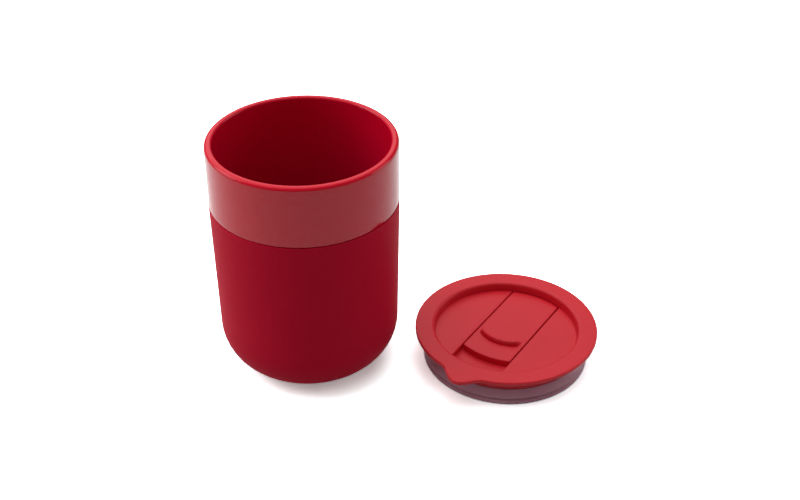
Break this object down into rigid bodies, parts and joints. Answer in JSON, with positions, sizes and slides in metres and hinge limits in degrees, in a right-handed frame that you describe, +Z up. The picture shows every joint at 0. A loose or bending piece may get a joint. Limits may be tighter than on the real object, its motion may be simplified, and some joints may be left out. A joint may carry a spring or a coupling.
{
  "type": "drinks tumbler with lid",
  "caption": "Glazed ceramic drinks tumbler in a silicone sleeve, with a press-in lid beside it that has a pull tab, a sealing ring and a sliding drink opening.",
  "frame": {"origin": "centre of the cup's flat foot, on the surface it stands on", "axes": "+Z up the cup's axis; +Y along the lid's slide, from its pull tab towards its back; +X towards the lid's side"},
  "size_m": [0.1681, 0.1338, 0.116],
  "materials": {
    "glaze": "glossy red glaze",
    "sleeve_silicone": "matte dark red silicone",
    "lid_plastic": "satin moulded red plastic",
    "seal_silicone": "clear silicone",
    "slider_plastic": "satin moulded red plastic",
    "pad_silicone": "clear silicone",
    "keeper_plastic": "satin moulded red plastic"
  },
  "bodies": {
    "cup": {"ceramic_cup": "glaze", "silicone_sleeve": "sleeve_silicone"},
    "lid": {"lid_body": "lid_plastic", "lid_seal": "seal_silicone"},
    "slider": {"slider": "slider_plastic", "slider_pad": "pad_silicone", "slider_keeper": "keeper_plastic"}
  },
  "joints": [
    {"name": "lid_lift", "type": "slide", "parent": "cup", "child": "lid", "axis": [0, 0, 1], "range_m": [0, 0.13]},
    {"name": "slider_slide", "type": "slide", "parent": "lid", "child": "slider", "axis": [0, -1, 0], "range_m": [0, 0.012]}
  ]
}
